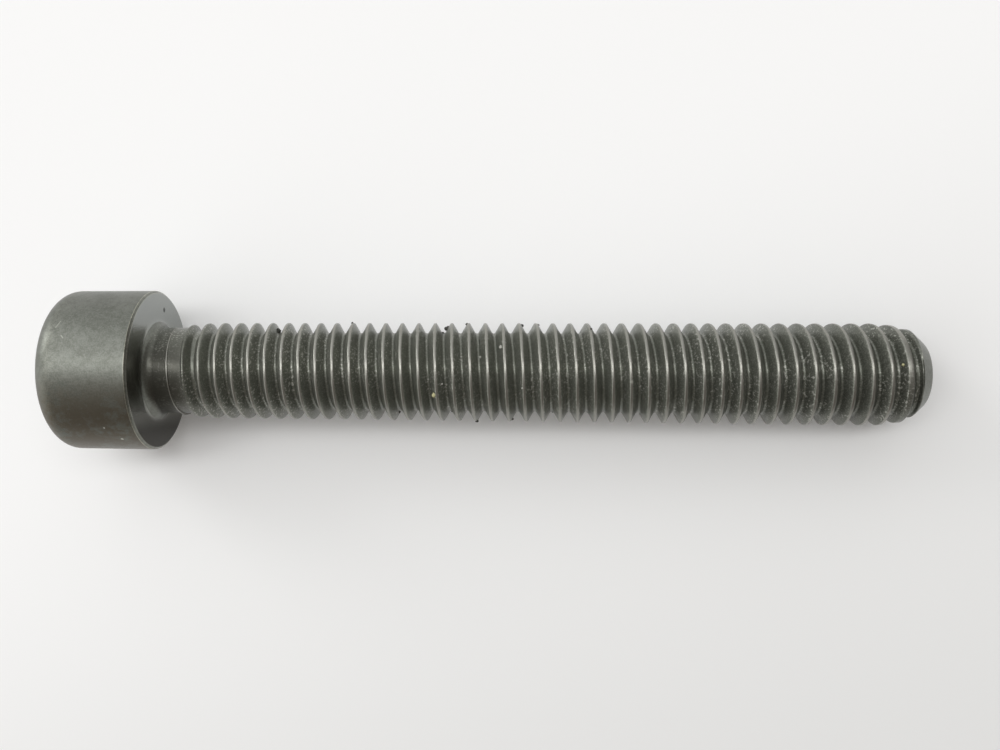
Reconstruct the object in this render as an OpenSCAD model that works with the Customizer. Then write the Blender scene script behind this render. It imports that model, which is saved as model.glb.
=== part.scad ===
// Cylinder-head bolt with a six-lobe star socket and a full-length right-hand thread.
// It lies on a flat surface, on the edge of its head and the end of its thread.

/* [Head] */
// Diameter of the head
head_d = 9.85; // [8.5:0.05:12]
// Height of the head, from its end to the bearing face
head_h = 5.85; // [5:0.05:8]
// Radius rolled round the rim of the head's end
rim_r = 1.1; // [0.4:0.05:1.4]
// Chamfer that breaks the edge of the bearing face
edge_break = 0.12; // [0.05:0.01:0.3]

/* [Star socket] */
// Width across two opposite lobes
star_d = 5.6; // [5:0.05:5.8]
// Width across two opposite waists, between the lobes
waist_d = 3.95; // [3.8:0.05:4.1]
// Radius of the end of each lobe
lobe_r = 0.45; // [0.35:0.01:0.5]
// Depth of the straight walls of the socket
socket_depth = 2.9; // [2:0.05:3.2]
// Depth of the cone in the floor of the socket
floor_cone_h = 0.55; // [0.2:0.05:0.8]
// Depth of the bevel round the mouth of the socket
mouth_bevel = 0.2; // [0.1:0.01:0.4]

/* [Neck] */
// Diameter of the plain neck under the head
neck_d = 5.3; // [5:0.05:5.5]
// Length of the neck that no crest reaches
neck_h = 0.85; // [0.85:0.05:3]
// Radius of the fillet between the bearing face and the neck
neck_fillet = 0.6; // [0.2:0.05:0.8]

/* [Thread] */
// Length of the bolt under the head
bolt_l = 45; // [20:1:80]
// Diameter over the thread's crests
thread_d = 5.88; // [5.8:0.02:6.1]
// Distance from one crest to the next
pitch = 1; // [0.75:0.05:1.25]
// Depth of a full groove
groove_depth = 0.61; // [0.4:0.01:0.65]
// Width of the flat at the foot of a groove
root_w = 0.15; // [0.05:0.01:0.2]
// Turns at the start that leave the neck bare between the first low crests
bare_turns = 0.65; // [0:0.05:1]
// Turns over which the groove then sinks to its full depth
run_in_turns = 0.9; // [0.5:0.1:2]
// Length over which the crests rise out of the neck to their full height
crest_rise_h = 2.8; // [1:0.1:4]
// Flats round each turn of the thread
turn_flats = 24; // [16:2:28]

/* [Tip] */
// Diameter of the flat end of the tip
tip_d = 3.8; // [3:0.1:4.5]
// Angle between the cone of the tip and the axis
tip_angle = 29; // [25:1:50]
// Length over which the last crests shrink to the foot of the thread
crest_fall_h = 1.9; // [1:0.1:4]
// Length of the bare core between the last crest and the cone
core_h = 0.4; // [0.3:0.05:1]

/* [Hidden] */

STEEL = [0.26, 0.27, 0.25];
LOBES = 6;
FLANK_ANGLE = 30;   // between a flank and a plane across the axis
LOBE_STEP = 360 / LOBES;
SMOOTH = 96;        // facets of the preview's round surfaces
MARGIN = 0.01;      // keeps the rod just inside the round solids that it joins
OVERLAP = 0.5;      // how far joined solids run into each other
MIN_CREST_W = 0.05; // the narrowest crest that the grooves leave between them

head_r = head_d / 2;
neck_r = neck_d / 2;
thread_r = thread_d / 2;
full_depth = min(groove_depth, (pitch - root_w - MIN_CREST_W) / 2 / tan(FLANK_ANGLE));
root_r = thread_r - full_depth;
groove_half_w = root_w / 2 + full_depth * tan(FLANK_ANGLE);
crest_w = pitch - 2 * groove_half_w;
tip_r = tip_d / 2;

// Heights along the axis, from the bearing face towards the tip
rod_foot = neck_h - OVERLAP / 2;
cone_foot = bolt_l - (root_r - tip_r) / tan(tip_angle);
rod_top = cone_foot - OVERLAP / 2;
fall_foot = cone_foot - core_h - crest_fall_h;
groove_foot = neck_h + root_w + pitch / 2;
crest_foot = groove_foot - pitch / 4;

// The star's lobes and waists are arcs that meet in a common tangent
lobe_at = star_d / 2 - lobe_r;
waist_r = waist_d / 2;
waist_at = (lobe_at ^ 2 - (waist_r - lobe_r) ^ 2)
    / (2 * lobe_at * cos(LOBE_STEP / 2) - 2 * (waist_r - lobe_r));
waist_arc_r = waist_at - waist_r;
tangent_share = lobe_r / (lobe_r + waist_arc_r);
tangent_at = [
    lobe_at + tangent_share * (waist_at * cos(LOBE_STEP / 2) - lobe_at),
    tangent_share * waist_at * sin(LOBE_STEP / 2)
];

// At rest the axis leans until the head's edge and the first crest that it reaches touch the surface
groove_turns = (rod_top - root_w - groove_foot) / pitch;
lean = atan(min([for (i = [1 : floor(groove_turns)]) let (z = groove_foot + pitch * (i - 1 / 2))
    (head_r - crest_at(z)) / (z + edge_break)]));
rest_h = head_r * cos(lean) - edge_break * sin(lean);
end_x = (rim_r - head_h) * cos(lean) - (head_r - rim_r) * sin(lean) - rim_r;
tip_x = bolt_l * cos(lean) + tip_r * sin(lean);

// A value that eases from 0 to 1 as x does
function eased(x) = let (s = min(max(x, 0), 1)) s * s * (3 - 2 * s);

// How far a value has gone from one height over a length, from 0 to 1
function share(z, foot, length) = min(max((z - foot) / length, 0), 1);

// Radius of the crests at a height: it rises out of the neck and falls in a curve towards the tip
function crest_at(z) = min(
    thread_r - (thread_r - neck_r + MARGIN / 2) * (1 - share(z, crest_foot, crest_rise_h)) ^ 2,
    thread_r - (full_depth - MARGIN / 2) * share(z, fall_foot, crest_fall_h) ^ 2
);

// Radius of the groove's foot this many turns after it begins: first the neck's, then sinking
function root_at(turn) = neck_r - 2 * MARGIN
    + (root_r - neck_r + 2 * MARGIN) * eased((turn - bare_turns) / run_in_turns);

// A point of the rod at an angle about the axis
function at(radius, angle, z) = [radius * cos(angle), radius * sin(angle), z];

// The four corners of the groove where it crosses one half-plane through the axis. Its crests stay
// narrow and its flanks keep their angle, so where it is shallow its foot is wide
function groove_corners(i) =
    let (
        turn = i / turn_flats,
        z = groove_foot + pitch * turn,
        root = root_at(turn),
        foot = z - groove_half_w,
        end = min(z + groove_half_w, rod_top - MARGIN),
        low = crest_at(foot),
        high = crest_at(end)
    )
    [
        at(low, 360 * turn, foot),
        at(root, 360 * turn, foot + (low - root) * tan(FLANK_ANGLE)),
        at(root, 360 * turn, end - (high - root) * tan(FLANK_ANGLE)),
        at(high, 360 * turn, end)
    ];

// The three corners below the first turn of the groove: the neck, and the first crest's two edges
// where it rises out of the neck
function first_crest_corners(i) =
    let (
        angle = 360 * i / turn_flats,
        crest_end = groove_foot + pitch * i / turn_flats - groove_half_w,
        crest = crest_at(crest_end),
        bare = neck_r - MARGIN
    )
    [
        at(bare, angle, rod_foot),
        at(bare, angle, crest_end - crest_w - (crest - bare) * tan(FLANK_ANGLE)),
        at(crest, angle, crest_end - crest_w)
    ];

// Half of the head's section, without the socket
module head_section() {
    difference() {
        translate([0, -head_h]) square([head_r, head_h]);
        difference() {
            translate([head_r - rim_r, -head_h]) square(rim_r);
            translate([head_r - rim_r, rim_r - head_h]) circle(rim_r, $fn = SMOOTH);
        }
        polygon([[head_r - edge_break, 0], [head_r, 0], [head_r, -edge_break]]);
    }
}

// Half of the neck's section, with its fillet
module neck_section() {
    translate([0, -OVERLAP]) square([neck_r, neck_h + OVERLAP]);
    difference() {
        translate([neck_r, -OVERLAP]) square([neck_fillet, neck_fillet + OVERLAP]);
        translate([neck_r + neck_fillet, neck_fillet]) circle(neck_fillet, $fn = SMOOTH);
    }
}

// Outline of the star: a disc through the tangent points, less its waists, plus its lobes
module star_section() {
    difference() {
        circle(norm(tangent_at), $fn = SMOOTH);
        for (i = [0 : LOBES - 1])
            rotate(LOBE_STEP * (i + 1 / 2)) translate([waist_at, 0]) circle(waist_arc_r, $fn = SMOOTH);
    }
    for (i = [0 : LOBES - 1])
        rotate(LOBE_STEP * i) translate([lobe_at, 0]) circle(lobe_r, $fn = SMOOTH);
}

// The hollow that the driver goes into, with its bevelled mouth and coned floor
module star_socket() {
    translate([0, 0, -head_h - OVERLAP]) linear_extrude(socket_depth + OVERLAP) star_section();
    translate([0, 0, socket_depth - head_h]) cylinder(floor_cone_h, waist_r, 0, $fn = SMOOTH);
    translate([0, 0, -head_h - mouth_bevel])
        cylinder(2 * mouth_bevel, star_d / 2 + 2 * mouth_bevel, star_d / 2, $fn = SMOOTH);
}

module head_and_neck() {
    difference() {
        rotate_extrude($fn = SMOOTH) {
            head_section();
            neck_section();
        }
        star_socket();
    }
}

// The threaded rod: flats between a ring at its foot and one at its top, with the groove let in
module threaded_rod() {
    n = turn_flats;
    last = floor(groove_turns * n);
    corners = [for (i = [0 : last]) each groove_corners(i)];
    first_crest = [for (i = [0 : n - 1]) each first_crest_corners(i)];
    top_ring = [for (i = [0 : n - 1]) at(root_r, 360 * (i + last) / n, rod_top)];
    foot = 4 * (last + 1);
    top = foot + 3 * n;
    walls = [for (i = [0 : last - 1]) for (j = [0 : 2])
        [4 * i + j, 4 * i + j + 1, 4 * i + j + 5, 4 * i + j + 4]];
    lands = [for (i = [0 : last - n - 1]) [4 * i + 3, 4 * (i + n), 4 * (i + n + 1), 4 * i + 7]];
    crest_walls = [for (i = [0 : n - 2]) for (j = [0 : 1]) let (f = foot + 3 * i + j)
        [f, f + 1, f + 4, f + 3]];
    first_land = [for (i = [0 : n - 2]) [foot + 3 * i + 2, 4 * i, 4 * i + 4, foot + 3 * i + 5]];
    last_land = [for (i = [1 : n - 1]) let (c = 4 * (last - n + i) + 3)
        [c, top + i, top + (i + 1) % n, c + 4]];
    // where the first turn comes round to its own beginning
    before = top - 3;
    first_seam = [
        [before, foot + 1, foot], [before, foot + 2, foot + 1], [before, 0, foot + 2],
        [before, 3, 0], [before, before + 1, 3], [before + 1, before + 2, 3],
        [before + 2, 4 * (n - 1), 3], [4 * (n - 1), 4 * n, 3]
    ];
    last_seam = [[top + 1, 4 * (last - n) + 7, 4 * (last - n) + 3, 4 * last, 4 * last + 3, top]];
    ends = [
        [0, 3, 2, 1],
        [for (j = [0 : 3]) 4 * last + j],
        [for (i = [0 : n - 1]) foot + 3 * i],
        [for (i = [n - 1 : -1 : 0]) top + i]
    ];
    polyhedron(
        concat(corners, first_crest, top_ring),
        concat(walls, lands, crest_walls, first_land, last_land, first_seam, last_seam, ends),
        convexity = 10
    );
}

// The plain core and cone past the last crest
module tip() {
    rotate_extrude($fn = SMOOTH) polygon([
        [0, rod_top - OVERLAP], [root_r + MARGIN - OVERLAP, rod_top - OVERLAP],
        [root_r + MARGIN, rod_top - OVERLAP / 2], [root_r + MARGIN, cone_foot], [tip_r, bolt_l], [0, bolt_l]
    ]);
}

// The bolt as made, standing on its head along the Z axis
module upright_bolt() {
    head_and_neck();
    threaded_rod();
    tip();
}

// The bolt at rest: head towards -X, tip towards +X, the middle of its footprint at the origin
module bolt() {
    color(STEEL)
        translate([-(end_x + tip_x) / 2, 0, rest_h])
            rotate([0, 90 + lean, 0]) upright_bolt();
}

bolt();
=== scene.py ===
import math

import bpy
import numpy as np
from mathutils import Matrix


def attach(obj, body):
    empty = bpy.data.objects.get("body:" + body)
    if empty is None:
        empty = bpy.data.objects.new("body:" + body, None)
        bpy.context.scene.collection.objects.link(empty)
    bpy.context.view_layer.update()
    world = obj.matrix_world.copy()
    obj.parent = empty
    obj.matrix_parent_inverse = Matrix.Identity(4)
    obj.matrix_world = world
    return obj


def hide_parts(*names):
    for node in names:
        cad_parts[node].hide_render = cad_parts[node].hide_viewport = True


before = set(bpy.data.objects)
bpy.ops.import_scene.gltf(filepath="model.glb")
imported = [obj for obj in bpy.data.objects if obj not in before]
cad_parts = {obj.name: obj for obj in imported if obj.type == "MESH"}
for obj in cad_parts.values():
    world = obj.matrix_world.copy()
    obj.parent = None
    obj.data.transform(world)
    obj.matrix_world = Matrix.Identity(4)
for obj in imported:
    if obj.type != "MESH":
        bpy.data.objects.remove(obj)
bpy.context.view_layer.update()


# The bolt's head: a cylinder upset on the end of the bar, with a rolled rim round its end and a
# broken edge round its flat bearing face. It is revolved about the bolt's axis, from the mouth
# of the socket to the fillet under the bearing face, in millimetres from that face.
HEAD_R, HEAD_H, RIM_R = 4.925, 5.85, 1.1
MOUTH_R, MOUTH_BEVEL = 3.0, 0.2
EDGE_BREAK, SOFT_EDGE, SLIGHT = 0.12, 0.025, 0.004
NECK_R, FILLET = 2.65, 0.6
# a flat keeps a ring this near to each rounding beside it, so that it shades flat, and the
# socket's edges have a narrow lip and a small rounding
HOLD, LIP, SOFT_LIP = 0.12, 0.04, 0.012
COLUMNS = 96


def arc(centre, radius, start, end, steps):
    """Points (radius, height) on an arc: centre + radius * (cos, sin), from start to end degrees."""
    turn = np.radians(np.linspace(start, end, steps + 1))
    return np.c_[centre[0] + radius * np.cos(turn), centre[1] + radius * np.sin(turn)]


def turned(section, columns=COLUMNS):
    """A surface of revolution: each point (r, z) of the section becomes the ring (r cos a, r sin a, z)."""
    around = np.arange(columns) * 2 * np.pi / columns
    r, z = section[:, :1], section[:, 1:]
    return np.stack([r * np.cos(around), r * np.sin(around), z + 0 * around], axis=-1)


side_z = np.linspace(RIM_R - HEAD_H + HOLD, -EDGE_BREAK - HOLD, 5)
face_r = np.linspace(HEAD_R - EDGE_BREAK - HOLD, NECK_R + FILLET + HOLD, 4)
edge_section = np.array([
    [HEAD_R, -EDGE_BREAK - 2 * SOFT_EDGE], [HEAD_R - SLIGHT, -EDGE_BREAK - SOFT_EDGE / 2],
    [HEAD_R - SOFT_EDGE, -EDGE_BREAK + SOFT_EDGE / 2], [HEAD_R - EDGE_BREAK + SOFT_EDGE / 2, -SOFT_EDGE],
    [HEAD_R - EDGE_BREAK - SOFT_EDGE / 2, -SLIGHT], [HEAD_R - EDGE_BREAK - 2 * SOFT_EDGE, 0],
])
head_section = np.vstack([
    [[MOUTH_R + SOFT_LIP, -HEAD_H + SOFT_LIP], [MOUTH_R + LIP, -HEAD_H], [MOUTH_R + HOLD, -HEAD_H]],
    [[HEAD_R - RIM_R - HOLD, -HEAD_H]], arc((HEAD_R - RIM_R, RIM_R - HEAD_H), RIM_R, -90, 0, 14),
    np.c_[np.full(len(side_z), HEAD_R), side_z], edge_section, np.c_[face_r, np.zeros(len(face_r))],
    arc((NECK_R + FILLET, FILLET), FILLET, 270, 180, 10),
    [[NECK_R, FILLET + HOLD / 2], [NECK_R, FILLET + 2 * HOLD]],
])
# how far each ring of the head is rubbed bright, where the rim runs into the side and on the
# broken edge round the bearing face
rim_rings, edge_rings = slice(15, 21), slice(24, 30)
head_rub = np.zeros(len(head_section))
head_rub[rim_rings] = [0.05, 0.15, 0.25, 0.3, 0.25, 0.1]
head_rub[edge_rings] = [0.15, 0.85, 0.35, 0.35, 0.9, 0.1]


# The star socket: six round lobes joined by six hollow waists, punched into the end of the head.
# Its mouth is bevelled and its floor is a shallow cone left by the punch.
STAR_R, WAIST_R, LOBE_R = 2.8, 1.975, 0.45
SOCKET_DEPTH, FLOOR_CONE = 2.9, 0.55
LOBE_STEPS, WAIST_STEPS = 7, 9
HALF_LOBE = math.pi / 6
STAR_COLUMNS = 12 * (LOBE_STEPS + WAIST_STEPS)


def star(offset):
    """Outline of the star, offset outwards: an arc about each lobe's centre runs into an arc about
    each waist's centre where their circles touch, as complex numbers from one lobe's end round."""
    lobe_at = STAR_R - LOBE_R
    waist_at = ((lobe_at ** 2 - (WAIST_R - LOBE_R) ** 2)
                / (2 * lobe_at * math.cos(HALF_LOBE) - 2 * (WAIST_R - LOBE_R)))
    waist_centre = waist_at * np.exp(1j * HALF_LOBE)
    to_waist = np.angle(waist_centre - lobe_at)
    lobe = lobe_at + (LOBE_R + offset) * np.exp(1j * np.linspace(0, to_waist, LOBE_STEPS + 1))
    sweep = np.linspace(to_waist + np.pi, HALF_LOBE + np.pi, WAIST_STEPS + 1)[1:]
    waist = waist_centre + (waist_at - WAIST_R - offset) * np.exp(1j * sweep)
    half = np.concatenate([lobe, waist])
    other = (np.conj(half * np.exp(-1j * HALF_LOBE)) * np.exp(1j * HALF_LOBE))[::-1]
    sector = np.concatenate([half[:-1], other[:-1]])
    return (np.exp(2j * HALF_LOBE * np.arange(6))[:, None] * sector).ravel()


def star_ring(offset, z):
    """The star's outline, offset outwards, at one height."""
    outline = star(offset)
    return np.stack([outline.real, outline.imag, np.full(len(outline), z)], axis=-1)


floor_z, mouth_z = SOCKET_DEPTH - HEAD_H, MOUTH_BEVEL - HEAD_H
cone_share = np.array([0.12, 0.5, 0.97])
floor_rings = turned(np.c_[cone_share * WAIST_R, floor_z + FLOOR_CONE * (1 - cone_share)], STAR_COLUMNS)
wall_rings = np.stack([
    star_ring(-LIP, floor_z), star_ring(-SOFT_LIP, floor_z - SOFT_LIP), star_ring(0, floor_z - LIP),
    star_ring(0, (floor_z + mouth_z) / 2), star_ring(0, mouth_z + LIP),
    star_ring(SOFT_LIP, mouth_z + SOFT_LIP), star_ring(LIP, mouth_z),
])
MOUTH_RUB = 0.3
bevel_foot = STAR_R + LIP + 2 * SOFT_LIP
mouth_rings = turned(np.array([[bevel_foot, mouth_z], [bevel_foot + SOFT_LIP, mouth_z - SOFT_LIP]]))


# The thread: a groove of rounded vee section, one millimetre a turn, rolled round the bar. Its
# first crests rise low and narrow out of the bare neck, it sinks to its full depth over the next
# turn, and the last crests fall a little before the tip's cone cuts across them.
PITCH, THREAD_R, GROOVE_DEPTH = 1.0, 2.94, 0.61
ROOT_R = THREAD_R - GROOVE_DEPTH
# half the root's width, and the radii that round off the root and the crests
ROOT_HALF, ROOT_ROUND, CREST_ROUND = 0.075, 0.13, 0.08
FLANK_SLOPE = math.tan(math.radians(30))
# the least depth of the groove, on the bare neck, and what is left of it where the crests end
SHALLOWEST, LAST_DEPTH = 0.004, 0.005
# the height of the groove's first point, and its turns before it sinks, while it sinks and in all
GROOVE_FOOT, BARE_TURNS, RUN_IN_TURNS, GROOVE_TURNS = 1.5, 0.65, 0.9, 43.04
# the lengths over which the crests rise from the neck and fall towards the tip
CREST_FOOT, CREST_RISE, CREST_FALL = GROOVE_FOOT - PITCH / 4, 2.8, 2.8
BOLT_L, TIP_R, TIP_ANGLE = 45.0, 1.92, 43
TIP_SLOPE = math.tan(math.radians(TIP_ANGLE))
FALL_FOOT = BOLT_L - CREST_FALL


def crest_at(z):
    """Radius of the crests at a height: it rises out of the neck and falls towards the tip, each
    along a parabola that levels off at the full thread."""
    rise = THREAD_R - (THREAD_R - NECK_R) * (1 - np.clip((z - CREST_FOOT) / CREST_RISE, 0, 1)) ** 2
    fall = THREAD_R - (GROOVE_DEPTH - LAST_DEPTH) * np.clip((z - FALL_FOOT) / CREST_FALL, 0, 1) ** 2
    return np.minimum(rise, fall)


def cone_at(z):
    """Radius of the tip's cone at a height."""
    return TIP_R + (BOLT_L - z) * TIP_SLOPE


def half_groove():
    """Half of the full groove's section, from the crest's edge down, as distances from its middle
    and heights over its foot: an arc of the crest's rounding, two points on the flank, which
    stands 30 degrees from the plane across the axis, and an arc of the root's rounding."""
    turn = np.radians([0, 20, 40, 60])
    away = ROOT_HALF + GROOVE_DEPTH * FLANK_SLOPE + CREST_ROUND * (FLANK_SLOPE - np.sin(turn))
    high = GROOVE_DEPTH - CREST_ROUND * (1 - np.cos(turn))
    turn = np.radians([60, 40, 20, 6])
    foot_away = ROOT_HALF + ROOT_ROUND * (np.sin(turn) - FLANK_SLOPE)
    foot_high = ROOT_ROUND * (1 - np.cos(turn))
    share = np.array([0.18, 0.85])
    return (np.hstack([away, away[-1] + share * (foot_away[0] - away[-1]), foot_away]),
            np.hstack([high, high[-1] + share * (foot_high[0] - high[-1]), foot_high]))


AWAY, HIGH = half_groove()


def flank(edge, crest, root, side):
    """One side of a groove from its edge at the crest down to its root, as radii and heights. A
    shallower groove has the same shape made smaller, so its root is wider."""
    depth = np.maximum(crest - root, SHALLOWEST)
    return root + depth * HIGH / GROOVE_DEPTH, edge - side * (AWAY[0] - AWAY) * depth / GROOVE_DEPTH


def cut_edge(centre, side):
    """Height and radius of a groove's edge below (side -1) or above (side 1): on the crest, or where
    the flank meets the tip's cone. As the last crests fall the groove keeps its root and narrows."""
    over_point = cone_at(centre) - ROOT_R + ROOT_HALF / FLANK_SLOPE + CREST_ROUND
    reach = over_point / (1 / FLANK_SLOPE + side * TIP_SLOPE)
    crest = np.minimum(crest_at(centre + side * AWAY[0]), cone_at(centre + side * reach))
    lost = np.where(centre + side * AWAY[0] > FALL_FOOT, THREAD_R - np.maximum(crest, ROOT_R), 0)
    return centre + side * (AWAY[0] - lost * FLANK_SLOPE), crest


def around_axis(r, z, turn):
    """Points at radius r and height z, this many turns round from the side that faces down."""
    return np.stack([r * np.cos(2 * np.pi * turn), r * np.sin(2 * np.pi * turn), z + 0 * r], axis=-1)


# row i of the strip stands at i / COLUMNS of a turn, and its points run across the groove from the
# crest below to the crest above; nothing stands out of the tip's cone
turn = np.arange(int(GROOVE_TURNS * COLUMNS) + 1)[:, None] / COLUMNS
centre = GROOVE_FOOT + PITCH * turn
sunk = np.clip((turn - BARE_TURNS) / RUN_IN_TURNS, 0, 1)
root = NECK_R - (NECK_R - ROOT_R) * sunk * sunk * (3 - 2 * sunk)
low_r, low_z = flank(*cut_edge(centre, -1), root, -1)
high_r, high_z = flank(*cut_edge(centre, 1), root, 1)
strip_r = np.hstack([low_r, root, high_r[:, ::-1]])
strip_z = np.hstack([low_z, centre, high_z[:, ::-1]])
thread = around_axis(np.minimum(strip_r, cone_at(strip_z)), strip_z, turn)

# the first crest's lower side, one turn of it, from the neck up to its edge
first_edge = centre[:COLUMNS] - PITCH + AWAY[0]
first_r, first_z = flank(first_edge, crest_at(first_edge + PITCH - 2 * AWAY[0]), NECK_R, 1)
first_crest = around_axis(first_r[:, ::-1], first_z[:, ::-1], turn[:COLUMNS])

# how far each point is rubbed bright: fully on a crest, and not at all from the flank down
side_rub = np.array([1, 0.95, 0.6, 0.15, 0, 0, 0, 0, 0, 0])
DULL_TURNS, DULL_SHARE, FADE_TURNS, LAST_RUBBED = 0.8, 0.15, 0.3, len(thread) / COLUMNS - 1.3


def crest_share(turn):
    """How far the crest above the groove is rubbed at this turn: a small share at first, rising to
    the whole over the second turn, and fading to nothing over the last turns before the tip."""
    return np.clip(turn - DULL_TURNS, DULL_SHARE, 1) * np.clip((LAST_RUBBED - turn) / FADE_TURNS, 0, 1)


low_share = np.where(turn < 1, 1, crest_share(turn - 1))
thread_rub = np.hstack([low_share * side_rub, 0 * root, crest_share(turn) * side_rub[::-1]])


# The tip: a steep cone turned on the end of the bar, across the last crests, with a flat end
# whose edge is barely rounded. The cone's shoulder starts on the last crest, or just past the
# groove's edge where that comes nearer to the end.
SHOULDER, PAST_EDGE, SHOULDER_RUB = 44.25, 0.03, 0.3
TIP_ROUND, TIP_EASE = 0.138, 0.06
shoulder_rows = np.r_[len(thread) - 1, len(thread) - COLUMNS:len(thread) - 1]
shoulder_z = np.maximum(strip_z[shoulder_rows, -1] + PAST_EDGE, SHOULDER)
shoulder_r = np.minimum(crest_at(shoulder_z), cone_at(shoulder_z))
shoulder = around_axis(shoulder_r, shoulder_z, turn[shoulder_rows, 0])
cone_z = BOLT_L - np.array([3, 1.4]) * TIP_EASE
end_r = np.array([TIP_R - 3 * TIP_EASE, TIP_R / 2, TIP_R / 6])
tip_section = np.vstack([
    np.c_[cone_at(cone_z), cone_z],
    arc((TIP_R - TIP_EASE, BOLT_L - TIP_ROUND), TIP_ROUND, TIP_ANGLE, 90, 2),
    np.c_[end_r, np.full(len(end_r), BOLT_L)],
])
tip_rub = np.array([0, 0.05, 0.4, 0.4, 0.1, 0, 0, 0])


# The finished bolt is one closed skin. It lies leaning on the edge of its head and one of its last
# crests, so its axis dips towards the tip, with the middle of its footprint at the origin.
MM, SHARP_ANGLE = 0.001, 26
under = GROOVE_FOOT + PITCH * (np.arange(int(GROOVE_TURNS)) + 0.5)
LEAN = math.atan(((HEAD_R - crest_at(under)) / (under + EDGE_BREAK)).min())
end_x = (RIM_R - HEAD_H) * math.cos(LEAN) - (HEAD_R - RIM_R) * math.sin(LEAN) - RIM_R
tip_x = BOLT_L * math.cos(LEAN) + TIP_R * math.sin(LEAN)
REST = (-(end_x + tip_x) / 2 * MM, 0.0, (HEAD_R * math.cos(LEAN) - EDGE_BREAK * math.sin(LEAN)) * MM)
points, rub, faces = [], [], []


def lay(block, rubbed):
    """Adds a block of points with how far each is rubbed, and returns the block of their numbers."""
    first = sum(len(p) for p in points)
    numbers = first + np.arange(block[..., 0].size).reshape(block.shape[:-1])
    points.append(block.reshape(-1, 3))
    rub.append(np.broadcast_to(rubbed, block.shape[:-1]).ravel())
    return numbers


def join(grid):
    """Faces between neighbouring points of a grid of numbers, whose rows follow one another round
    the axis and whose columns follow one another up it, facing outwards."""
    corners = grid[:-1, :-1], grid[1:, :-1], grid[1:, 1:], grid[:-1, 1:]
    faces.extend(np.stack(corners, -1).reshape(-1, 4).tolist())


def skin(rings):
    """Faces between each closed ring of numbers and the next, facing outwards."""
    join(np.vstack([rings.T, rings[:, 0]]))


floor_numbers = lay(floor_rings, 0)
wall_numbers = lay(wall_rings, 0)
skin(np.vstack([floor_numbers, wall_numbers]))
mouth_numbers = lay(mouth_rings, MOUTH_RUB)
head_numbers = lay(turned(head_section), head_rub[:, None])
skin(np.vstack([mouth_numbers, head_numbers]))
# two of the star's points stand to each point of the round mouth
star_edge, mouth_edge = wall_numbers[-1], mouth_numbers[0]
faces.extend(np.c_[star_edge[::2], star_edge[1::2], np.roll(star_edge[::2], -1),
                   np.roll(mouth_edge, -1), mouth_edge].tolist())

# the groove, and the crests that join its upper edge to its lower edge one turn further on
strip = lay(thread, thread_rub)
join(strip)
join(np.c_[strip[:-COLUMNS, -1], strip[COLUMNS:, 0]])

# the first turn, where each column climbs from the neck over the first crest to the groove, and
# the seam where it comes round to its own beginning
first = lay(first_crest, side_rub[::-1])
neck = head_numbers[-1]
columns = np.c_[neck, first, strip[:COLUMNS, 0]]
join(columns)
side_points = len(HIGH)
before, after = columns[-1, 1:], np.append(strip[0, -side_points:], strip[COLUMNS, 0])
join(np.stack([before, after]))
faces.append([neck[-1], neck[0], *first[0], *strip[0, :-side_points], after[0], before[0]])

# the last turn, from the groove's upper edge to the shoulder, the tip, and the groove's blind end
shoulder_numbers = lay(shoulder, SHOULDER_RUB)
tip_numbers = np.roll(lay(turned(tip_section), tip_rub[:, None]), -((len(strip) - 1) % COLUMNS), axis=1)
skin(np.vstack([shoulder_numbers, tip_numbers]))
last_turn, cone = strip[-COLUMNS - 1:, -1], np.append(shoulder_numbers, shoulder_numbers[0])
join(np.c_[last_turn[1:], cone[1:]])
faces.append([last_turn[0], last_turn[1], cone[1], cone[0], *strip[-1, ::-1]])

# the middles of the socket's floor and of the flat end, whose ring is turned about to face out
for ring, pole_z in ((floor_numbers[0, ::-1], floor_z + FLOOR_CONE), (tip_numbers[-1], BOLT_L)):
    pole = lay(np.array([[0.0, 0.0, pole_z]]), 0)[0]
    faces.extend(np.c_[ring, np.roll(ring, -1), np.full(len(ring), pole)].tolist())


def placed(local):
    """Takes millimetres about the bolt's own axis to its place on the floor, in metres: the side at
    angle 0 faces down, and the axis dips by the lean."""
    x, y, z = local.T * MM
    return np.c_[z * math.cos(LEAN) - x * math.sin(LEAN) + REST[0], y + REST[1],
                 REST[2] - x * math.cos(LEAN) - z * math.sin(LEAN)]


def finished(name, local, faces, values):
    """Makes a mesh object of points about the bolt's own axis, smooth but for its sharp edges, with
    named values for its material to read, and lets it ride on the part."""
    mesh = bpy.data.meshes.new(name)
    mesh.from_pydata(placed(local).tolist(), [], [[int(n) for n in face] for face in faces])
    for label, value in values.items():
        attribute = mesh.attributes.new(label, "FLOAT", "POINT")
        attribute.data.foreach_set("value", np.asarray(value, np.float32))
    mesh.polygons.foreach_set("use_smooth", np.ones(len(mesh.polygons), bool))
    mesh.set_sharp_from_angle(angle=math.radians(SHARP_ANGLE))
    mesh.update()
    piece = bpy.data.objects.new(name, mesh)
    bpy.context.scene.collection.objects.link(piece)
    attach(piece, "root")
    return piece


star_bolt = finished("star_bolt", np.vstack(points), faces, {"rub": np.concatenate(rub)})
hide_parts("bolt")


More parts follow.
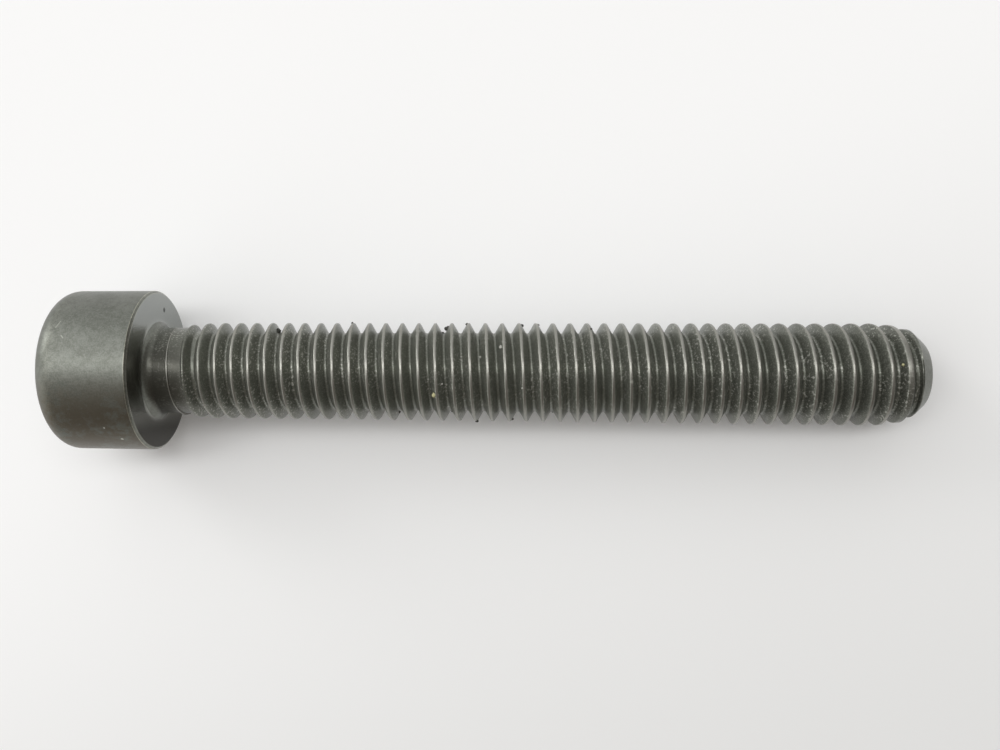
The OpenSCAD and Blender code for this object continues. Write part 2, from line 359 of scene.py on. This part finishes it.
class Shade:
    """An output of a material's node: arithmetic on it adds Math nodes to the same material."""

    def __init__(self, tree, socket=None):
        self.tree, self.socket = tree, socket

    def node(self, kind, settings=None, sockets=None, output=0):
        """Adds a node of this kind: its settings first, then its sockets' values or links."""
        made = self.tree.nodes.new(kind)
        for name, value in (settings or {}).items():
            setattr(made, name, value)
        for name, value in (sockets or {}).items():
            if isinstance(value, Shade):
                self.tree.links.new(value.socket, made.inputs[name])
            else:
                made.inputs[name].default_value = value
        return Shade(self.tree, made.outputs[output])

    def maths(self, operation, first, second):
        """A Math node on two values."""
        return self.node("ShaderNodeMath", {"operation": operation}, {0: first, 1: second})

    def __add__(self, other):
        return self.maths("ADD", self, other)

    def __mul__(self, other):
        return self.maths("MULTIPLY", self, other)

    def __sub__(self, other):
        return self.maths("SUBTRACT", self, other)

    def __rsub__(self, other):
        return self.maths("SUBTRACT", other, self)

    __radd__, __rmul__ = __add__, __mul__

    def ramp(self, low, high):
        """Eases from 0 to 1 as this value goes from low to high."""
        return self.node("ShaderNodeMapRange", {"interpolation_type": "SMOOTHSTEP"},
                         {"Value": self, "From Min": low, "From Max": high})

    def between(self, plain, full):
        """A colour: plain where this value is 0, full where it is 1."""
        return self.node("ShaderNodeMix", {"data_type": "RGBA"}, {0: self, 6: plain, 7: full}, 2)

    def distance(self, place):
        """How far this point is from a place."""
        return self.node("ShaderNodeVectorMath", {"operation": "DISTANCE"}, {0: self, 1: place}, 1)

    def dot(self, direction):
        """This vector's reach in a direction."""
        return self.node("ShaderNodeVectorMath", {"operation": "DOT_PRODUCT"}, {0: self, 1: direction}, 1)

    def from_line(self, start, end):
        """How far this point is from the straight line between two places: its distance from the
        point of the line at the share of its length that the dot product gives."""
        line = [b - a for a, b in zip(start, end)]
        from_start = self.node("ShaderNodeVectorMath", {"operation": "SUBTRACT"}, {0: self, 1: start})
        length_squared = sum(part * part for part in line)
        share = self.node("ShaderNodeClamp", None, {0: from_start.dot(line) * (1 / length_squared)})
        foot = self.node("ShaderNodeVectorMath", {"operation": "SCALE"}, {0: line, "Scale": share})
        return from_start.distance(foot)

    def noise(self, scale, detail=2.0, roughness=0.5):
        """Noise about 0.5 on this vector, at so many lumps to the unit."""
        return self.node("ShaderNodeTexNoise", None,
                         {"Vector": self, "Scale": scale, "Detail": detail, "Roughness": roughness})


def material(name):
    """A new material with its Principled shader and a Shade to start its nodes from."""
    made = bpy.data.materials.new(name)
    made.use_nodes = True
    return made, made.node_tree.nodes["Principled BSDF"], Shade(made.node_tree)


def link(shade, socket):
    """Feeds a socket of the shader from a Shade."""
    shade.tree.links.new(shade.socket, socket)


# The steel: black oxide over rolled and turned steel, satin, with a faint olive cast. The head is
# browner in patches on its near side, partly a real tint and partly painted shade. The bearing
# face has a painted reflection tone on its far side and painted shade on its near side. Dust and
# old oil lie as a film in the thread, whose colour darkens towards the tip; painted shade darkens
# the hollow round the neck, less on the far side; and the crests and edges are rubbed bright.
OXIDE, OXIDE_PALE, BROWN_AND_NEAR_SHADE = (0.13, 0.135, 0.117, 1), (0.195, 0.202, 0.181, 1), (0.10, 0.085, 0.062, 1)
BARE, BARE_EDGE = (0.31, 0.305, 0.275, 1), (0.62, 0.61, 0.5, 1)
# tones of the bearing face: a painted reflection level for its far side and its plain middle; its near side
# takes painted shade
FACE_FAR_PAINTED_REFLECTION, FACE_DULL = (0.30, 0.312, 0.30, 1), (0.33, 0.335, 0.31, 1)
FACE_NEAR_PAINTED_SHADE, NECK_PAINTED_SHADE = (0.036, 0.034, 0.027, 1), (0.055, 0.053, 0.043, 1)
FILM, THREAD_TIP_TONE, FILM_PALE = (0.145, 0.15, 0.125, 1), (0.09, 0.094, 0.076, 1), (0.27, 0.275, 0.24, 1)
DUST, PIT, CHALK, SALT = (0.5, 0.5, 0.45, 1), (0.03, 0.03, 0.028, 1), (0.8, 0.8, 0.76, 1), (0.5, 0.43, 0.4, 1)
SPOTS = (  # place (along the axis, to the far side, up), radius, colour
    ((0, 3.80, -0.62), 0.2, PIT), ((-1.17, -4.12, 2.70), 0.11, DUST), ((-1.89, -3.42, 3.54), 0.07, DUST),
    ((2.05, -0.88, 2.66), 0.16, SALT), ((36.75, 0.32, 2.92), 0.16, PIT), ((27.89, -0.29, 2.93), 0.09, CHALK),
    ((28.56, -0.51, 2.9), 0.12, DUST),
)
SCRATCHES = (  # from one place to another
    ((-4.32, 2.8, 4.05), (-4.5, 2.42, 4.28)), ((-4.05, 1.95, 4.52), (-3.9, 1.8, 4.59)),
    ((38.6, -1.4, 2.6), (38.9, -2.1, 2.1)),
)
SCRATCH_CORE, SCRATCH_EDGE, SCRATCH_SHARE = 0.015, 0.05, 0.35
SATIN, RELIEF = 0.26, 0.02 * MM
steel, shader, shade = material("black_oxide_steel")
about = shade.node("ShaderNodeTexCoord", output=3)
along = shade.node("ShaderNodeMapping", {"vector_type": "TEXTURE"},
                   {"Vector": about, "Location": REST, "Rotation": (0, LEAN, 0), "Scale": (MM, MM, MM)})
axial = shade.node("ShaderNodeSeparateXYZ", None, {"Vector": along}, 0)
sideways = shade.node("ShaderNodeSeparateXYZ", None, {"Vector": along}, 1)
rubbed = shade.node("ShaderNodeAttribute", {"attribute_name": "rub"}, output=2)
cloud, mottle, grain = along.noise(0.8, 2), along.noise(3.2, 4, 0.65), along.noise(11, 3, 0.6)
fleck = along.noise(26, 2)

# where each part of the bolt lies, in millimetres from the bearing face
on_head = 1 - axial.ramp(-0.2, -0.05)
on_face = axial.ramp(-0.03, -0.005) * (1 - axial.ramp(0.03, 0.06))
near_neck = axial.ramp(0.1, 0.5) * (1 - axial.ramp(2.1, 2.8))
on_thread = axial.ramp(0.15, 0.6) * (1 - axial.ramp(BOLT_L - 1, BOLT_L - 0.6))

# the finish: patchy oxide, browned in patches on the near side of the head, partly a real tint and
# partly painted shade, and the turned bearing face, with a painted reflection tone on its far side
# and painted shade on its near side
patina = (cloud * 0.2 + mottle * 0.35 + grain * 0.45).ramp(0.36, 0.64)
# brown patches, partly a real tint, kept to the near side of the head as painted shade
browned_and_shaded = on_head * (1 - sideways.ramp(-3.0, 0.3)) * (cloud * 0.5 + mottle * 0.5).ramp(0.30, 0.56) * 0.9
colour = browned_and_shaded.between(patina.between(OXIDE, OXIDE_PALE), BROWN_AND_NEAR_SHADE)
# the bearing face: a painted reflection tone on its far side, painted shade on its near side
face_tone = sideways.ramp(2.0, 3.2).between(FACE_DULL, FACE_FAR_PAINTED_REFLECTION)
face_tone = (1 - sideways.ramp(-3.8, -2.25)).between(face_tone, FACE_NEAR_PAINTED_SHADE)
colour = on_face.between(colour, face_tone)

# the dirt and shade: a film of dirt over the thread, with specks of dust in it, its colour darker
# towards the tip, and painted shade in the hollow round the neck, less of it on the far side
film = on_thread * (0.55 + mottle * 0.5)
speck = along.noise(7.5, 1).ramp(0.59, 0.66) * along.noise(0.35, 1).ramp(0.36, 0.58)
dust = (fleck.ramp(0.62, 0.72) * mottle.ramp(0.45, 0.6) * 0.7 + speck * 0.8) * film
# the thread's colour darkens along it towards the tip
film_tone = axial.ramp(20, 46).between(FILM, THREAD_TIP_TONE)
film_tone = (grain.ramp(0.45, 0.66) * 0.55).between(film_tone, FILM_PALE)
colour = dust.between(film.between(colour, film_tone), DUST)
# painted shade in the hollow round the neck, under the head, lighter on the far side
colour = (near_neck * (0.8 - sideways.ramp(0.5, 2.5) * 0.6)).between(colour, NECK_PAINTED_SHADE)

# the wear: crests and edges rubbed through the oxide, single spots and scratches
worn = rubbed * (mottle * 0.3 + fleck * 0.7 + rubbed * 0.4).ramp(0.55, 0.95)
colour = worn.between(colour, axial.ramp(-0.2, 0.1).between(BARE_EDGE, BARE))
for place, radius, tint in SPOTS:
    colour = (1 - along.distance(place).ramp(radius / 2, radius)).between(colour, tint)
for start, end in SCRATCHES:
    scratch = 1 - along.from_line(start, end).ramp(SCRATCH_CORE, SCRATCH_EDGE)
    colour = (scratch * SCRATCH_SHARE).between(colour, DUST)
link(colour, shader.inputs["Base Color"])
link(1 - film * 0.45 * (1 - worn) - dust * 0.3, shader.inputs["Metallic"])
link(SATIN + grain * 0.12 + on_head * 0.08 - on_face * 0.1, shader.inputs["Roughness"])
relief = shade.node("ShaderNodeBump", None,
                    {"Strength": 0.35, "Distance": RELIEF, "Height": grain + fleck * 0.5})
link(relief, shader.inputs["Normal"])
star_bolt.data.materials.append(steel)


# The grit: sand and crumbs of dried dirt caught in the thread, stuck to its flanks and crests.
# Each is an uneven lump of its own, half sunk in the film on the thread's surface.
GRIT = (  # height, turns round, half its size, tone from dark 0 through yellow 0.5 to pale 1
    (7.62, 0.27, 0.16, 0.0), (18.0, 0.268, 0.17, 0.0), (22.42, 0.262, 0.11, 0.05),
    (17.72, 0.262, 0.09, 0.1), (19.15, 0.262, 0.08, 0.1), (26.4, 0.335, 0.06, 0.1),
    (21.24, 0.413, 0.1, 1.0), (17.41, 0.581, 0.14, 0.5), (43.17, 0.467, 0.08, 0.55),
    (18.94, 0.44, 0.06, 0.9), (20.04, 0.441, 0.07, 0.9), (17.85, 0.545, 0.06, 0.9),
    (22.45, 0.551, 0.05, 0.9), (19.8, 0.738, 0.09, 0.05), (23.4, 0.265, 0.07, 0.1),
    (12.2, 0.265, 0.07, 0.1), (15.1, 0.74, 0.07, 0.1), (21.9, 0.742, 0.08, 0.1),
    (24.3, 0.741, 0.06, 0.2), (18.3, 0.742, 0.08, 0.1),
)
LUMP_RINGS, LUMP_COLUMNS, LUMP_CAP = 7, 10, 0.12
GRIT_DARK, GRIT_SANDY, GRIT_PALE = (0.05, 0.05, 0.042, 1), (0.42, 0.40, 0.22, 1), (0.42, 0.42, 0.38, 1)


def lump(size, which):
    """A ball on a grid of angles from its pole and round it, swollen and shrunk by two waves round
    it that differ from lump to lump, as points about its middle."""
    polar = np.linspace(LUMP_CAP, np.pi - LUMP_CAP, LUMP_RINGS)[:, None]
    around = np.arange(LUMP_COLUMNS) * 2 * np.pi / LUMP_COLUMNS
    level = np.cos(polar) + 0 * around
    ball = np.stack([np.sin(polar) * np.cos(around), np.sin(polar) * np.sin(around), level], -1)
    uneven = 1 + 0.16 * np.sin(2 * around + polar * 3 + which * 1.7)
    uneven = uneven + 0.1 * np.sin(3 * around - polar * 2 + which)
    return size[..., None] * ball * uneven[..., None]


height, grit_turn, half_size, lump_tone = np.array(GRIT).T
from_root = np.abs((height - GROOVE_FOOT - grit_turn + PITCH / 2) % PITCH - PITCH / 2)
surface = np.clip(ROOT_R + (from_root - ROOT_HALF) / FLANK_SLOPE, ROOT_R, THREAD_R)
lumps = lump(half_size[:, None, None], np.arange(len(GRIT))[:, None, None])
lumps = lumps + around_axis(surface, height, grit_turn)[:, None, None]
grit_points = lumps.reshape(-1, 3)
numbers = np.arange(len(grit_points)).reshape(len(GRIT), LUMP_RINGS, LUMP_COLUMNS)
onward = np.roll(numbers, -1, axis=2)
grit_faces = np.stack([numbers[:, 1:], onward[:, 1:], onward[:, :-1], numbers[:, :-1]], -1)
grit_faces = grit_faces.reshape(-1, 4).tolist() + numbers[:, 0].tolist() + numbers[:, -1, ::-1].tolist()
thread_grit = finished("thread_grit", grit_points, grit_faces,
                       {"tone": np.repeat(lump_tone, LUMP_RINGS * LUMP_COLUMNS)})
crumb, shader, shade = material("grit")
tone = shade.node("ShaderNodeAttribute", {"attribute_name": "tone"}, output=2)
sandy = tone.ramp(0.1, 0.5).between(GRIT_DARK, GRIT_SANDY)
link(tone.ramp(0.6, 0.9).between(sandy, GRIT_PALE), shader.inputs["Base Color"])
shader.inputs["Roughness"].default_value = 0.8
thread_grit.data.materials.append(crumb)


# The floor: a sheet of plain white paper under the bolt. Its colour is greyer towards the near side
# and the right, a painted falloff of light, and steps down just beside the bolt as a painted soft
# shadow. It is there for the bolt to stand on, and takes its shadow.
FLOOR = 1.5
PAPER_PAINTED_SHADE, PAPER_LIT = (0.75, 0.75, 0.745, 1), (0.945, 0.945, 0.945, 1)
floor_mesh = bpy.data.meshes.new("floor")
floor_corners = [(-FLOOR, -FLOOR, 0), (FLOOR, -FLOOR, 0), (FLOOR, FLOOR, 0), (-FLOOR, FLOOR, 0)]
floor_mesh.from_pydata(floor_corners, [], [(0, 1, 2, 3)])
floor = bpy.data.objects.new("floor", floor_mesh)
bpy.context.scene.collection.objects.link(floor)
paper, shader, shade = material("paper")
painted_light_across = shade.node("ShaderNodeTexCoord", output=3).dot((-0.45, 1.0, 0))
# painted light on the paper: its lit colour on the far side, painted shade towards the near side and the
# right
link(painted_light_across.ramp(-0.045, 0.012).between(PAPER_PAINTED_SHADE, PAPER_LIT), shader.inputs["Base Color"])
shader.inputs["Roughness"].default_value = 0.9
shader.inputs["Specular IOR Level"].default_value = 0.1
floor_mesh.materials.append(paper)


# The light: a pale room, brightest to the left and the far side, dimmer and warmer on the near
# side and the right, with a long soft lamp overhead and a small one to the left and far side.
# Where the camera sees past the paper the room is plain and pale.
NEAR_SIDE, FAR_SIDE = (0.20, 0.175, 0.155, 1), (0.97, 0.98, 0.98, 1)
LEFT_SIDE, RIGHT_SIDE = (1.45, 1.45, 1.43, 1), (0.23, 0.215, 0.2, 1)
BACKDROP = (0.9, 0.9, 0.9, 1)
room = bpy.data.worlds.new("room")
room.use_nodes = True
bpy.context.scene.world = room
shade = Shade(room.node_tree)
toward = shade.node("ShaderNodeTexCoord", output=0)
far, left = toward.dot((-0.1, 1.0, 0)), toward.dot((-1.0, 0, 0))
sky = far.ramp(-0.6, 0.3).between(NEAR_SIDE, FAR_SIDE)
sky = left.ramp(0.25, 0.95).between(sky, LEFT_SIDE)
sky = (1 - left.ramp(-0.8, 0.0)).between(sky, RIGHT_SIDE)
seen = shade.node("ShaderNodeLightPath", output=0)
link(seen.between(sky, BACKDROP), room.node_tree.nodes["Background"].inputs["Color"])


def lamp(name, place, size, watts):
    """A white rectangular lamp at a place in metres, turned to face the bolt."""
    data = bpy.data.lights.new(name, "AREA")
    data.shape, data.size, data.size_y = "RECTANGLE", size[0], size[1]
    data.energy = watts
    made = bpy.data.objects.new(name, data)
    made.location = place
    made.rotation_euler = (-made.location).to_track_quat("-Z", "Y").to_euler()
    made.visible_camera = False
    bpy.context.scene.collection.objects.link(made)


lamp("overhead", (-0.02, 0.11, 0.5), (0.7, 0.1), 0.9)
lamp("left", (-0.45, 0.3, 0.28), (0.2, 0.2), 0.55)


# The camera stands over the bolt, a little nearer to its head than to its tip, and its frame is
# shifted so that the bolt lies in the middle. Its place is in millimetres about the bolt's own
# axes (along, to the far side, up from the middle of the bearing face), and its turns in radians.
CAMERA_AT = (21.794, -0.226, 52.577)
TURN, TIP_UP, ROLL = 0.0977, 0.0006, 0.0066
LENS, SHIFT = 31.41, 0.0748
own_axes = np.array([[math.cos(LEAN), 0, math.sin(LEAN)], [0, 1, 0], [-math.sin(LEAN), 0, math.cos(LEAN)]])
stand = np.array(REST) + own_axes @ np.array(CAMERA_AT) * MM
facing = (Matrix(own_axes.tolist()) @ Matrix.Rotation(TURN, 3, "Y") @ Matrix.Rotation(TIP_UP, 3, "X")
          @ Matrix.Rotation(ROLL, 3, "Z"))
camera = bpy.data.objects.new("camera", bpy.data.cameras.new("camera"))
camera.data.lens, camera.data.shift_x = LENS, SHIFT
camera.data.clip_start, camera.data.clip_end = 0.001, 10
camera.matrix_world = Matrix.Translation(stand.tolist()) @ facing.to_4x4()
bpy.context.scene.collection.objects.link(camera)
bpy.context.scene.camera = camera
bpy.context.scene.view_settings.view_transform = "Standard"
